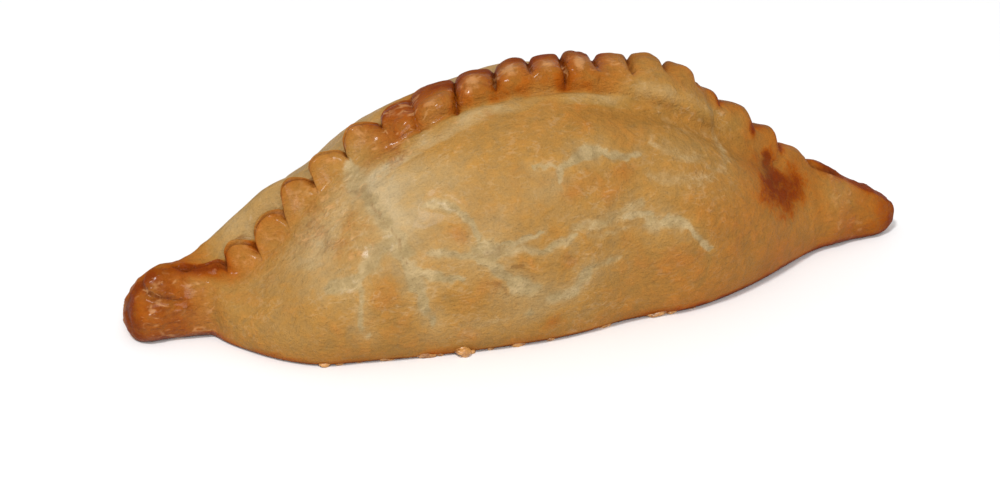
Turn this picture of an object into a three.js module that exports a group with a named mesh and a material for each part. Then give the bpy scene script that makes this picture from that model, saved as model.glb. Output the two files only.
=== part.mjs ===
// A large empanada with its edge rope-crimped along the top, millimetres, +Z up.
// X runs along the crimped seam, from the blunt end (-X) to the pointed end (+X); -Y is the front.
// The whole crust is one closed skin, lofted through cross-sections that stand across the seam:
// a flat underside, a belly that tucks in under itself, a dome, and the seam bead on top of it.
// The bead is then thrown into finger crimps: upright lobes that stand up in front of the dome on
// the blunt half, flat-topped ones that go over the crest in the middle, and soft ones after it.
import * as THREE from "three";

// ---- driving dimensions ----
const LENGTH = 210; // end to end
const FRONT = 41; // belly in front of the middle plane, at its fullest
const BACK = 41; // belly behind it
const DOME = 54.5; // top of the filled dome, under the bead
const CREST = 60.6; // top of the crimped bead
const SUMMIT = 3; // x of the highest point
const TUCK = 4; // how far the base edge lies inside the belly
const TUCK_SHARE = 0.35; // and at most this share of the half width there
const BELLY_LEVEL = 0.32; // height of the widest line, as a share of the dome
const ROUNDNESS = 2.25; // exponent of the dome's cross-section

// How the long lines fall away from the summit: reach and power on either side.
const CREST_ARCH = { left: [91, 0.66], right: [90, 0.78] };
const DOME_ARCH = { left: [88, 0.78], right: [84, 0.92] };
const BELLY_ARCH = { left: [88, 3.4, 0.4], right: [84, 1.9, 0.85] };

// Swells and dips of those lines: where, over what length, and by how much.
const FRONT_WAVES = [
  { at: -95, over: 7, by: -1.4 },
  { at: -80, over: 6, by: -1.2 },
  { at: -64, over: 9, by: 2 },
  { at: 15, over: 13, by: -3.5 },
];
const BACK_WAVES = [{ at: -52, over: 6, by: -4.5 }];
const CREST_WAVES = [
  { at: -14, over: 9, by: -1.7 },
  { at: 4, over: 8, by: -0.5 },
];
const TALL_BEAD = { from: 18, to: 37, drop: 41, end: 46, extra: 2.2 }; // its last tall stretch
// The ditch behind the lobes, which parts them from the dome.
const DITCH = [
  { at: -83, over: 6, by: 3.8 },
  { at: -69, over: 5.5, by: 1.8 },
  { at: -38, over: 6, by: 0.6 },
];
const DITCH_HALF = 4.5;

// The drawn-out ends: height and half width where they leave the body, their taper, how far the
// whole end swings forward, the height of the very tip, and how the nose rounds off.
const BLUNT_END = {
  neck: 81,
  height: 18.5,
  half: 9.8,
  slope: 0.05,
  flare: 3,
  swing: { from: 77, to: 92, by: -2 },
  tip: 5.2,
  above: { run: 12, power: 0.6 },
  below: { run: 3, power: 0.4 },
  side: { run: 7, power: 0.45 },
};
const POINTED_END = {
  neck: 82,
  height: 20.5,
  half: 9.4,
  slope: 0.52,
  flare: 2,
  swing: { from: 78, to: 95, by: -1.5 },
  tip: 5.4,
  above: { run: 8, power: 0.5 },
  below: { run: 7, power: 0.5 },
  side: { run: 9, power: 0.5 },
};

// Seam bead: its line, its reach down either side, and how high it stands.
const SEAM_Y = -3;
const SEAM_FRONT = 13;
const SEAM_BACK = 8;
const ROOT_SHARE = 0.72; // the bead's roots lie within this share of the way to the belly
const BEND = { from: -20, to: -60, by: -1.5 }; // the seam bends forward on the blunt half
const LAST_BEND = { from: -52, to: -78, by: -2.6 }; // and more so under the last lobes
const STRAIGHTEN = { from: 68, to: 90, by: 0.7 }; // both ends draw it back to the middle
const SHELF = 7; // how far behind the lobes the dome's own top lies
const SHELF_SPAN = { from: -45, to: -12 };
// How far below the crest line the lobes' crest lies, less over the shoulder and on the end.
const LOBE_DROP = {
  own: 2.2,
  shoulder: 4.3,
  end: 1.6,
  waves: [
    { at: -78, over: 6, by: -1.3 },
    { at: -53, over: 6, by: 1 },
  ],
};
const BEAD = { reach: 6.5, wide: 7.5, behind: 4.2, drop: 0.4, gentle: 3.2, steep: 5 };

// The finger crimps: where the creases between them cross the crest, how far down the front of
// the bead each crease reaches (a share of it), and how tall each crimp is against the rule.
const CREASES = [
  -80, -72, -64.5, -57, -48.5, -39, -31.5, -20.5, -10.5, -1.5, 7, 15.5, 25, 34.5, 43, 50, 60.5, 68, 78,
];
const REACHES = [
  0.5, 0.5, 0.5, 0.5, 0.5, 0.5, 0.65, 0.68, 0.52, 0.4, 0.66, 0.4, 0.44, 0.32, 0.3, 0.3, 0.3, 0.3, 0.3,
];
const BOLDNESS = [
  1.1, 1.2, 1, 1.07, 1.15, 1.05, 0.95, 1.1, 1, 0.9, 1.05, 1, 1.1, 0.95, 1.05, 1, 1.1, 0.9,
];
const CRIMPS = CREASES.length - 1;
// How far the creases past the lobes lean towards the blunt end as they come down, in crimps per
// half bead, and the seats between which they do.
const LEAN = { by: 0.26, from: -0.7, to: 0.6 };
const LOBE_FRONT = { from: -0.4, to: -0.05 }; // how a lobe rises out of the dough below its edge
const LOBE_CREASE = { from: -0.18, to: 0 }; // and how far below it the creases between lobes run
const LOBES = { from: -44, to: -18 }; // over this stretch the lobes become the crest
const SOFT = { from: 41, to: 48 }; // and over this one they go soft
const LOBE_HEIGHT = 2.4;
const LOBE_SWELLS = [
  { at: -60, over: 9, by: 2 },
  { at: -45, over: 8, by: 1.3 },
];
const CREST_CRIMP_HEIGHT = 1;
const SOFT_CRIMP_HEIGHT = 1.9;
const CREASE_DEPTH = { lobe: 0.9, crest: 1.2, soft: 1.5 };
const RIM = 1.7; // thickness of the lower sheet's edge behind a lobe
const RIM_GROOVE = 0.8; // depth of the slit between the two sheets
const ROOT_SWELL = 0.9; // the crimps' roots swell, over a furrow of the same depth
// The hollow under the soft crimps: its line as x and height up the skin, its depth, and the
// swell above it.
const HOLLOW = [
  [2, 60], [12, 59], [18, 58], [23, 57], [29, 56], [34, 54], [40, 50], [45, 47], [50, 42], [55, 37], [60, 32],
];
const HOLLOW_DEPTH = 1.2;
const HOLLOW_SWELL = 0.7;

// Resolution of the faceted skin.
const PER_CRIMP = 6;
const GATHER = 0.45; // how much the columns draw together at the creases
const NOSE_COLUMNS = 9;
const ROWS = { tuck: 3, front: 8, lobe: 10, wall: 2, slope: 3, back: 6 };

// ---- small helpers ----
const clamp01 = (t) => Math.min(Math.max(t, 0), 1);
const mix = (a, b, t) => a + (b - a) * t;
const hump = (x, at, over) => Math.exp(-(((x - at) / over) ** 2));
const waves = (list, x) => list.reduce((sum, w) => sum + w.by * hump(x, w.at, w.over), 0);

/** Smooth step from 0 at a to 1 at b. */
function ease(a, b, x) {
  const t = clamp01((x - a) / (b - a));
  return t * t * (3 - 2 * t);
}

/** The larger of two positive lengths, with their meeting rounded off. */
function blend(a, b, power) {
  return (a ** power + b ** power) ** (1 / power);
}

/** A cosine arch, 1 at the summit and 0 at its reach to either side. */
function arch(x, { left, right }) {
  const [reach, power] = x < SUMMIT ? left : right;
  return Math.cos((Math.PI / 2) * clamp01(Math.abs(x - SUMMIT) / reach)) ** power;
}

const endAt = (x) => (x < SUMMIT ? BLUNT_END : POINTED_END);
const pastNeck = (x) => Math.max(Math.abs(x) - endAt(x).neck, 0);

/** 1 where the crimps stand as lobes in front of the dome, 0 where they are its crest. */
const lobed = (x) => 1 - ease(LOBES.from, LOBES.to, x);
const soft = (x) => ease(SOFT.from, SOFT.to, x);
const shelved = (x) => 1 - ease(SHELF_SPAN.from, SHELF_SPAN.to, x);
const straight = (x) => 1 - STRAIGHTEN.by * ease(STRAIGHTEN.from, STRAIGHTEN.to, Math.abs(x));

/** 1 along the crimped seam, 0 on the two ends. */
function crimped(turn) {
  return ease(-0.9, 0.2, turn) * (1 - ease(CRIMPS - 0.7, CRIMPS + 0.4, turn));
}

// ---- long lines of the crust, as functions of x ----

/** Height of an end's own top line. */
function endHeight(x) {
  return endAt(x).height - endAt(x).slope * pastNeck(x);
}

/** Top of the bead: an arch that flows into the two ends, with one tall stretch. */
function crestHeight(x) {
  const tall = ease(TALL_BEAD.from, TALL_BEAD.to, x) * (1 - ease(TALL_BEAD.drop, TALL_BEAD.end, x));
  const body = CREST * arch(x, CREST_ARCH) + TALL_BEAD.extra * tall + waves(CREST_WAVES, x);
  return blend(body, endHeight(x), 6);
}

/** Top of the dome under the bead. */
function domeHeight(x) {
  return blend(DOME * arch(x, DOME_ARCH), endHeight(x) * 0.76, 6);
}

/** Half width of the belly on one side; full is that side's greatest half width. */
function bellyHalf(x, full) {
  const end = endAt(x);
  const [reach, inner, outer] = x < SUMMIT ? BELLY_ARCH.left : BELLY_ARCH.right;
  const body = full * (1 - clamp01(Math.abs(x - SUMMIT) / reach) ** inner) ** outer;
  const out = pastNeck(x);
  const own = end.half + end.flare * (1 - ease(0, 9, out)) - end.half * 0.45 * end.slope * (out / 12);
  return blend(body, own * ease(50, 78, Math.abs(x)), 4);
}

/** Rounding of an end's nose: 1 along the body, falling over its last run to 0 at the very end. */
function nose(x, { run, power }) {
  const into = clamp01((Math.abs(x) - (LENGTH / 2 - run)) / run);
  return (1 - into * into) ** power;
}

/** How far the bead's bell stays below the crest line on the blunt half, lobe by lobe. */
function lobeDrop(x) {
  const past = ease(-84, -92, x);
  const shoulder = ease(-57, -70, x) * (1 - past);
  return LOBE_DROP.own - LOBE_DROP.shoulder * shoulder - LOBE_DROP.end * past + waves(LOBE_DROP.waves, x);
}

/** Everything that one cross-section needs. */
function station(x, turn) {
  const front = bellyHalf(x, FRONT) + waves(FRONT_WAVES, x);
  const back = bellyHalf(x, BACK) + waves(BACK_WAVES, x);
  const middle = (SEAM_Y + BEND.by * ease(BEND.from, BEND.to, x)) * straight(x);
  const seam = middle + LAST_BEND.by * ease(LAST_BEND.from, LAST_BEND.to, x) * (1 - ease(-82, -92, x));
  const arc = Math.abs(Math.sin(Math.PI * turn)) * crimped(turn);
  return {
    x,
    turn,
    front,
    back,
    dome: domeHeight(x),
    middle,
    seam,
    rootFront: Math.min(SEAM_FRONT, ROOT_SHARE * (front + seam)),
    rootBack: Math.min(SEAM_BACK, ROOT_SHARE * (back - seam)),
    rim: mix(0.6 + 0.08 * arc, 0.02 + 0.1 * arc, lobed(x)),
  };
}

/** Dome height at y on a cross-section. */
function domeAt(s, y) {
  const half = y < 0 ? s.front : s.back;
  const belly = BELLY_LEVEL * s.dome;
  const rise = clamp01(1 - (Math.abs(y) / half) ** ROUNDNESS) ** (1 / ROUNDNESS);
  return belly + (s.dome - belly) * rise;
}

/** Seam bead's own height at y: a bell, steep behind and gentle in front, less the ditch. */
function beadAt(s, y) {
  const slope = shelved(s.x);
  const height = crestHeight(s.x) - s.dome - mix(BEAD.drop, lobeDrop(s.x), slope);
  const d = y - s.middle - SHELF * slope * straight(s.x);
  const ahead = Math.min(BEAD.reach + slope * (0.8 + (BEAD.wide - 0.8) * ease(-68, -53, s.x)), 0.7 * s.front);
  const behind = Math.min(BEAD.behind + 1.2 * slope, 0.45 * s.back);
  const [reach, power] = d < 0 ? [ahead, BEAD.gentle] : [behind, BEAD.steep - 2 * slope];
  const bell = 1 / (1 + Math.abs(d / reach) ** power);
  return height * bell - waves(DITCH, s.x) * hump(y, s.middle, DITCH_HALF);
}

/** Seats across the bead, -1 at its front root and 1 at its back root, with each one's share of
 * the narrow wall behind the crimps' edge. */
function seats(s) {
  const thick = RIM / SEAM_BACK;
  const list = [];
  for (let i = 0; i < ROWS.lobe; i += 1) {
    list.push([mix(-1, s.rim, i / ROWS.lobe), 0]);
  }
  for (let i = 0; i < ROWS.wall; i += 1) {
    list.push([s.rim + (thick * i) / ROWS.wall, i / ROWS.wall]);
  }
  for (let i = 0; i < ROWS.slope; i += 1) {
    list.push([mix(s.rim + thick, 1, i / ROWS.slope), 1]);
  }
  return list;
}

/** One cross-section, from the front edge of the flat underside over the top to its back edge. */
function section(s) {
  const belly = BELLY_LEVEL * s.dome;
  const tuckFront = Math.min(TUCK, TUCK_SHARE * s.front);
  const tuckBack = Math.min(TUCK, TUCK_SHARE * s.back);
  const points = [];
  const add = (y, z, seat = null, wall = 0) => points.push({ y, z, seat, wall });
  const onDome = (y, seat, wall) => add(y, domeAt(s, y) + beadAt(s, y), seat, wall);
  for (let i = 0; i < ROWS.tuck; i += 1) {
    const a = (i / ROWS.tuck) * (Math.PI / 2);
    add(-(s.front - tuckFront) - tuckFront * Math.sin(a), belly * (1 - Math.cos(a)));
  }
  const frontTop = Math.acos(clamp01((s.rootFront - s.seam) / s.front) ** (ROUNDNESS / 2));
  for (let i = 0; i < ROWS.front; i += 1) {
    onDome(-s.front * Math.cos((i / ROWS.front) * frontTop) ** (2 / ROUNDNESS));
  }
  for (const [seat, wall] of seats(s)) {
    onDome(s.seam + seat * (seat < 0 ? s.rootFront : s.rootBack), seat, wall);
  }
  const backTop = Math.acos(clamp01((s.rootBack + s.seam) / s.back) ** (ROUNDNESS / 2));
  for (let i = ROWS.back; i > 0; i -= 1) {
    onDome(s.back * Math.cos((i / ROWS.back) * backTop) ** (2 / ROUNDNESS));
  }
  for (let i = ROWS.tuck; i >= 0; i -= 1) {
    const a = (i / ROWS.tuck) * (Math.PI / 2);
    add(s.back - tuckBack + tuckBack * Math.sin(a), belly * (1 - Math.cos(a)));
  }
  return roundNose(s, points);
}

/** How far the end that x belongs to swings forward there. */
function swing(x) {
  const { from, to, by } = endAt(x).swing;
  return by * ease(from, to, Math.abs(x));
}

/** Draws a cross-section in towards the end's tip, more from above than from below. */
function roundNose(s, points) {
  const { tip, above, below, side } = endAt(s.x);
  return points.map(({ y, z, seat, wall }) => ({
    seat,
    wall,
    place: new THREE.Vector3(
      s.x,
      y * nose(s.x, side) + swing(s.x),
      tip + (z - tip) * nose(s.x, z > tip ? above : below),
    ),
  }));
}

/** A station at each column: the same number in every crimp, gathered at creases and noses. */
function columns() {
  const list = [];
  const first = CREASES[0];
  const last = CREASES[CRIMPS];
  for (let i = 1; i < NOSE_COLUMNS; i += 1) {
    const x = mix(-LENGTH / 2, first, 1 - Math.cos(((i / NOSE_COLUMNS) * Math.PI) / 2));
    list.push(station(x, (x - first) / 8));
  }
  for (let i = 0; i <= CRIMPS * PER_CRIMP; i += 1) {
    const even = i / PER_CRIMP;
    const turn = even - (GATHER * Math.sin(2 * Math.PI * even)) / (2 * Math.PI);
    const crimp = Math.min(Math.floor(turn + 1e-9), CRIMPS - 1);
    list.push(station(mix(CREASES[crimp], CREASES[crimp + 1], turn - crimp), turn));
  }
  for (let i = NOSE_COLUMNS - 1; i > 0; i -= 1) {
    const x = mix(last, LENGTH / 2, Math.cos(((i / NOSE_COLUMNS) * Math.PI) / 2));
    list.push(station(x, CRIMPS + (x - last) / 9));
  }
  return list;
}

// ---- the crimps ----

/** How far a crimp stands off the chord between its creases. */
function crimpHeight(x) {
  const lobe = LOBE_HEIGHT + waves(LOBE_SWELLS, x);
  const swell = 0.3 * ease(22, 30, x) * (1 - ease(43, 47, x));
  const low = CREST_CRIMP_HEIGHT + swell + (SOFT_CRIMP_HEIGHT - CREST_CRIMP_HEIGHT) * ease(46, 51, x);
  return mix(lobe, low, ease(-46, -20, x));
}

/** Outline of a crimp along the seam, at one place across it: 0 in its creases. */
function crimpShape(x, phase, parted) {
  const left = lobed(x);
  const right = soft(x);
  const arc = Math.max(Math.sin(Math.PI * phase ** (1 - 0.28 * left)), 0);
  const flatTop = (1 - Math.abs(2 * phase - 1) ** 2.2) ** 0.75;
  const skewed = Math.max(Math.sin(Math.PI * phase ** (1 + 0.5 * ease(20, 30, x))), 0);
  const pillow = mix(0.75, 0.5 * flatTop + 0.5 * skewed, parted);
  return left * arc ** 0.72 + (1 - left - right) * pillow + right * (skewed - 0.45) * parted;
}

/** How far a point of the bead moves out of the skin. */
function crimpPush(s, seat, wall) {
  const left = lobed(s.x);
  const right = soft(s.x);
  const middle = 1 - left - right;
  const number = Math.min(Math.max(Math.floor(s.turn + 1e-9), 0), CRIMPS - 1);
  const phase = clamp01(s.turn - number);
  const crease = Math.min(Math.max(Math.round(s.turn), 0), CRIMPS);
  const stop = -REACHES[crease];
  const into = seat - s.rim;
  const root = -0.65 - 0.0045 * Math.min(Math.max(s.x, -35), 42);
  const arc = Math.sin(Math.PI * phase);
  const tip = root + 0.1 * (1 - Math.max(arc, 0) ** 0.5);
  const ahead = mix(ease(tip - 0.13, tip + 0.13, seat), ease(LOBE_FRONT.from, LOBE_FRONT.to, into), left);
  const upright = 1 - ease(0.6, 1, wall);
  const over = 1 - ease(-0.45, 0.25, into);
  const grip = ahead * mix(over, upright, left);
  const fuller = 1 + (0.2 * right + 0.9 * middle) * (1 - ease(-0.55, 0.15, seat));
  const shape = crimpShape(s.x, phase, ease(stop - 0.12, stop + 0.18, seat));
  const height = crimpHeight(s.x) * BOLDNESS[number] * shape * grip * fuller;
  const gap = Math.min(phase, 1 - phase) * (CREASES[number + 1] - CREASES[number]);
  const deep = left * CREASE_DEPTH.lobe + middle * CREASE_DEPTH.crest + right * CREASE_DEPTH.soft;
  const lobeRun = ease(LOBE_CREASE.from, LOBE_CREASE.to, into);
  const run = mix(ease(stop - 0.06, stop + 0.14, seat), lobeRun, left);
  const end = 1 - ease(0.7, 1.1, wall) * left - ease(-0.2, 0.2, into) * (1 - left);
  const groove = hump(gap, 0, 0.5 + 0.3 * middle) * run * end;
  const slit = RIM_GROOVE * hump(wall, 0.28, 0.13) * left;
  const swollen = ease(-46, -30, s.x) * (1 - ease(27, 44, s.x));
  const roll = ROOT_SWELL * (hump(seat, root + 0.26, 0.2) - hump(seat, root - 0.02, 0.06));
  return (height - deep * groove - slit) * crimped(s.turn) + swollen * roll;
}

/** How far the creases lean at one place on the bead, in crimps: nothing past its roots. */
function leanAt(s, seat) {
  const inner = ease(-1, LEAN.from, seat) * (1 - ease(LEAN.to, 1, seat));
  return LEAN.by * (1 - lobed(s.x)) * crimped(s.turn) * inner * Math.min(Math.max(seat, LEAN.from), LEAN.to);
}

/** Slides each point of the bead along its own row, so that the columns follow the creases. */
function lean(stations, grid) {
  return grid.map((ring, i) =>
    ring.map((point, j) => {
      if (point.seat === null) {
        return point;
      }
      const turn = stations[i].turn + leanAt(stations[i], point.seat);
      const next = stations.findIndex((s) => s.turn > turn);
      const before = (next < 0 ? stations.length : next) - 1;
      if (before < 0 || before > stations.length - 2) {
        return point;
      }
      const t = (turn - stations[before].turn) / (stations[before + 1].turn - stations[before].turn);
      return { ...point, place: grid[before][j].place.clone().lerp(grid[before + 1][j].place, t) };
    }),
  );
}

/** Moves each point of the bead out along the skin, and each lobe's edge straight up. */
function crimp(stations, grid) {
  const across = new THREE.Vector3();
  const along = new THREE.Vector3();
  const out = new THREE.Vector3();
  const up = new THREE.Vector3();
  return grid.map((ring, i) =>
    ring.map(({ place, seat, wall }, j) => {
      const s = stations[i];
      if (seat === null || i === 0 || i === grid.length - 1) {
        return place.clone();
      }
      along.subVectors(grid[i + 1][j].place, grid[i - 1][j].place).normalize();
      across.subVectors(ring[j + 1].place, ring[j - 1].place);
      out.crossVectors(along, across).normalize();
      const slope = (crestHeight(s.x + 1) - crestHeight(s.x - 1)) / 2;
      up.set(-slope, 0, 1).normalize();
      out.lerp(up, lobed(s.x) * ease(-0.5, -0.05, seat - s.rim)).normalize();
      return place.clone().addScaledVector(out, crimpPush(s, seat, wall));
    }),
  );
}

// ---- the hollow under the soft crimps ----

/** From a point of the skin to the hollow's line: distance, share of the line, and side. */
function alongHollow(x, height) {
  const best = { away: Infinity, share: 0, side: 0 };
  const run = HOLLOW.length - 1;
  for (let i = 0; i < run; i += 1) {
    const [x0, h0] = HOLLOW[i];
    const [x1, h1] = HOLLOW[i + 1];
    const length = Math.hypot(x1 - x0, h1 - h0);
    const t = clamp01(((x - x0) * (x1 - x0) + (height - h0) * (h1 - h0)) / length ** 2);
    const away = Math.hypot(x - mix(x0, x1, t), height - mix(h0, h1, t));
    if (away < best.away) {
      best.away = away;
      best.share = (i + t) / run;
      best.side = (x1 - x0) * (height - h0) - (h1 - h0) * (x - x0);
    }
  }
  return best;
}

/** Presses the hollow into the skin, by length round each ring from the underside's front edge. */
function pressHollow(plain, grid) {
  const across = new THREE.Vector3();
  const along = new THREE.Vector3();
  const out = new THREE.Vector3();
  return grid.map((ring, i) => {
    let height = 0;
    return ring.map((point, j) => {
      height += j > 0 ? plain[i][j].place.distanceTo(plain[i][j - 1].place) : 0;
      if (i === 0 || i === grid.length - 1 || j === 0 || j === ring.length - 1) {
        return point;
      }
      const { away, share, side } = alongHollow(plain[i][j].place.x, height);
      const fade = ease(0, 0.35, share) * (1 - ease(0.8, 1, share));
      const swell = side > 0 ? HOLLOW_SWELL * hump(away, 6, 3.5) : 0;
      along.subVectors(grid[i + 1][j], grid[i - 1][j]).normalize();
      across.subVectors(ring[j + 1], ring[j - 1]);
      out.crossVectors(along, across).normalize();
      return point.clone().addScaledVector(out, (swell - HOLLOW_DEPTH * hump(away, 0, 3.2)) * fade);
    });
  });
}

// ---- the closed skin ----

/** Joins the rings into a closed mesh: quads between rings, a fan at each end. */
function skin(grid) {
  const rings = grid.length;
  const round = grid[0].length;
  const vertices = [];
  const triangles = [];
  for (const ring of grid) {
    for (const point of ring) {
      vertices.push(point.x, point.y, point.z);
    }
  }
  for (let i = 0; i < rings - 1; i += 1) {
    for (let j = 0; j < round; j += 1) {
      const a = i * round + j;
      const b = i * round + ((j + 1) % round);
      triangles.push(a, a + round, b, b, a + round, b + round);
    }
  }
  for (const [ring, side] of [[0, -1], [rings - 1, 1]]) {
    const hub = vertices.length / 3;
    const end = endAt(side * LENGTH);
    vertices.push((side * LENGTH) / 2, end.swing.by, end.tip);
    for (let j = 0; j < round; j += 1) {
      const a = ring * round + j;
      const b = ring * round + ((j + 1) % round);
      triangles.push(...(side < 0 ? [hub, a, b] : [hub, b, a]));
    }
  }
  const geometry = new THREE.BufferGeometry();
  geometry.setAttribute("position", new THREE.Float32BufferAttribute(vertices, 3));
  geometry.setIndex(triangles);
  geometry.computeVertexNormals();
  return geometry;
}

const crust = new THREE.MeshStandardMaterial({ color: 0xb9874a, roughness: 0.55, metalness: 0 });
const stations = columns();
const plain = lean(stations, stations.map(section));
const pastry = new THREE.Mesh(skin(pressHollow(plain, crimp(stations, plain))), crust);
pastry.name = "pastry";

const empanada = new THREE.Group();
empanada.add(pastry);

export default empanada;
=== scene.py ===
"""A large rope-crimped empanada, baked unevenly, on a pale studio floor.

The crust is one skin: the same arches and cross-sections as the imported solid, on a finer grid,
with the finger crimps, folds, dents and dried cracks worked into it. Lengths here are in
millimetres until a mesh is made, and in metres in the studio.
"""
import math

import bpy
import numpy as np
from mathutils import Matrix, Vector


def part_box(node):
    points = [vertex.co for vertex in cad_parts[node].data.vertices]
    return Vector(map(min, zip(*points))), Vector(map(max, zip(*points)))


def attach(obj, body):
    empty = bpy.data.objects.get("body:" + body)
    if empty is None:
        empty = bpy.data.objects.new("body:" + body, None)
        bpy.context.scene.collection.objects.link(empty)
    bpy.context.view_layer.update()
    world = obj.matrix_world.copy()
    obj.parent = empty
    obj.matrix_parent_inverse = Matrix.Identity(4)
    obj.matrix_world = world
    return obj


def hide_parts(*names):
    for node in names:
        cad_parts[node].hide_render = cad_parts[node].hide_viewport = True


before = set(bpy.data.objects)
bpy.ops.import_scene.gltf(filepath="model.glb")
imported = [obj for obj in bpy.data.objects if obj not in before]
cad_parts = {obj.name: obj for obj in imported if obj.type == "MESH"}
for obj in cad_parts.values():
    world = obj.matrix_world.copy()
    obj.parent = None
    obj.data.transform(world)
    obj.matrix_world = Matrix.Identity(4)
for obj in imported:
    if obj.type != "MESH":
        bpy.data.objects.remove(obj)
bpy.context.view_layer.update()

MM = 0.001
LOW, HIGH = (np.array(corner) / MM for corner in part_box("pastry"))


# ---- sizes of the crust ----

LENGTH = HIGH[0] - LOW[0]
# half widths of the belly
FRONT = -LOW[1]
BACK = HIGH[1]
# heights of the rope and of the filled dome at the summit, and the summit's x
CREST = 60.6
DOME = 54.5
SUMMIT = 3.0
# how far rope and dome reach along x from the summit, towards the blunt end and the pointed one
CREST_REACH = (91, 90)
DOME_REACH = (88, 84)
# how far the base is tucked in under the belly, how high the belly is widest as a share of the
# dome, and the power of the superellipse above that
TUCK = 4.0
BELLY_LEVEL = 0.32
ROUNDNESS = 2.25
# the line along which the two sheets meet, and how far the rope spreads before and behind it
SEAM_Y = -3.0
SEAM_FRONT = 13.0
SEAM_BACK = 8.0

# where the creases between the crimps cross the crest, from the blunt end to the pointed one
CREASES = (-80, -72, -64.5, -57, -48.5, -39, -31.5, -20.5, -10.5, -1.5,
           7, 15.5, 25, 34.5, 43, 50, 60.5, 68, 78)
CRIMPS = len(CREASES) - 1
# how far down the rope's front each crease reaches, as a share of it (the lobes have their own)
REACHES = (0.5, 0.5, 0.5, 0.5, 0.5, 0.5, 0.65, 0.68, 0.52, 0.40,
           0.66, 0.40, 0.44, 0.32, 0.30, 0.30, 0.30, 0.30, 0.30)
# how far the creases lean towards the blunt end as they come down, in crimps
LEAN = 0.26

# how tall each crimp is, against the smooth course of their heights
BOLDNESS = (1.1, 1.2, 1.0, 1.07, 1.15, 1.05, 0.95, 1.1, 1.0,
            0.9, 1.05, 1.0, 1.1, 0.95, 1.05, 1.0, 1.1, 0.9)

# The two drawn-out ends: where the neck is, the end's height and half width, how steeply it
# slopes down, how much wider it is at the neck, the height of the tip and how far forward it lies.
BLUNT = dict(neck=81, height=18.5, half=9.8, slope=0.05, flare=3, tip=5.2, forward=2)
POINTED = dict(neck=82, height=20.5, half=9.4, slope=0.52, flare=2, tip=5.4, forward=1.5)

# Unevenness along the pie, each as x, spread and size: bulges of the outline in front and behind
# (dents, if negative), bumps of the rope's top, the ditch behind the lobes, and their height.
FRONT_BULGES = ((-64, 9, 2.0), (15, 13, -3.5), (-80, 6, -1.2), (-95, 7, -1.4))
BACK_BULGES = ((-52, 6, -4.5),)
CREST_BUMPS = ((4, 8, -0.5), (-14, 9, -1.7))
DITCHES = ((-83, 6, 3.8), (-69, 5.5, 1.8), (-38, 6, 0.6))
LOBE_HEIGHTS = ((-60, 9, 2.0), (-45, 8, 1.3))

# Lines on the crust, as (x, height up the skin from the front edge of the base).
# Pale seams where the top skin has stretched apart: half width, how clear it is, and its line.
SEAMS = (
    (1.9, 0.9, ((-49, 59), (-49, 53), (-48, 47))),
    (1.6, 0.9, ((-48, 47), (-46, 40), (-45, 36))),
    (2.3, 1.0, ((-45, 36), (-44, 32), (-43, 28))),
    (1.7, 1.0, ((-43, 28), (-41, 24), (-40, 20))),
    (1.3, 1.0, ((-40, 20), (-40, 16), (-37, 12))),
    (1.9, 0.9, ((-45, 33), (-49, 31), (-50, 27), (-53, 25))),
    (1.6, 0.9, ((-53, 25), (-56, 24), (-61, 23))),
    (0.9, 0.7, ((-54, 24), (-54, 17), (-54, 12), (-52, 10))),
    # this row, broad and faint below the left lobes, is a painted highlight band rather than a
    # seam
    (2.4, 0.5, ((-52, 47), (-56, 40), (-60, 33), (-64, 29))),
    (0.9, 0.9, ((-43, 27), (-39, 25), (-33, 23), (-29, 22))),
    (1.0, 0.8, ((-37, 29), (-33, 29), (-29, 28), (-24, 28))),
    (1.3, 0.9, ((-36, 41), (-33, 41), (-29, 39))),
    (0.7, 0.9, ((-29, 39), (-27, 37), (-26, 33), (-25, 31))),
    (2.5, 1.0, ((-26, 29), (-22, 28))),
    (1.1, 1.0, ((-23, 27), (-21, 23), (-19, 20))),
    (1.8, 1.0, ((-19, 20), (-14, 18), (-10, 16))),
    (1.3, 0.9, ((-10, 15), (-5, 15), (-2, 15))),
    (1.3, 0.9, ((-2, 15), (0, 18), (2, 20))),
    (1.3, 0.6, ((1, 20), (6, 21), (11, 21))),
    (1.1, 0.7, ((-21, 28), (-15, 28), (-9, 27), (-5, 28), (-1, 29))),
    (0.5, 1.0, ((-20, 29), (-15, 30), (-10, 32))),
    (2.1, 0.6, ((-1, 31), (6, 31), (12, 32), (17, 33))),
    (1.1, 0.5, ((2, 28), (9, 28), (16, 29))),
    (0.7, 0.9, ((12, 31), (15, 31), (20, 30))),
    (1.9, 0.7, ((18, 29), (23, 27))),
    (1.3, 0.9, ((23, 28), (27, 27), (30, 25))),
    (0.7, 0.8, ((30, 24), (32, 22), (36, 18))),
    (0.9, 0.8, ((-4, 43), (-2, 46), (0, 47))),
    (1.4, 1.0, ((0, 47), (4, 49), (10, 48))),
    (0.9, 0.8, ((10, 47), (15, 45), (20, 45))),
    (1.2, 0.4, ((20, 45), (23, 47), (24, 52))),
    (0.6, 0.7, ((-3, 46), (-9, 47))),
    (2.2, 0.5, ((21, 40), (28, 37), (34, 36), (39, 37))),
    (1.8, 0.5, ((23, 48), (28, 45), (32, 43), (38, 42))),
    (1.6, 0.4, ((29, 57), (33, 52), (39, 49), (45, 48))),
    (2.0, 0.5, ((45, 48), (46, 42), (44, 37))),
    (1.4, 0.5, ((38, 39), (42, 38), (47, 39))),
    (1.1, 0.7, ((-16, 11), (-12, 11), (-9, 12))),
    (1.5, 0.5, ((-28, 10), (-22, 10), (-18, 10))),
)
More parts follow.
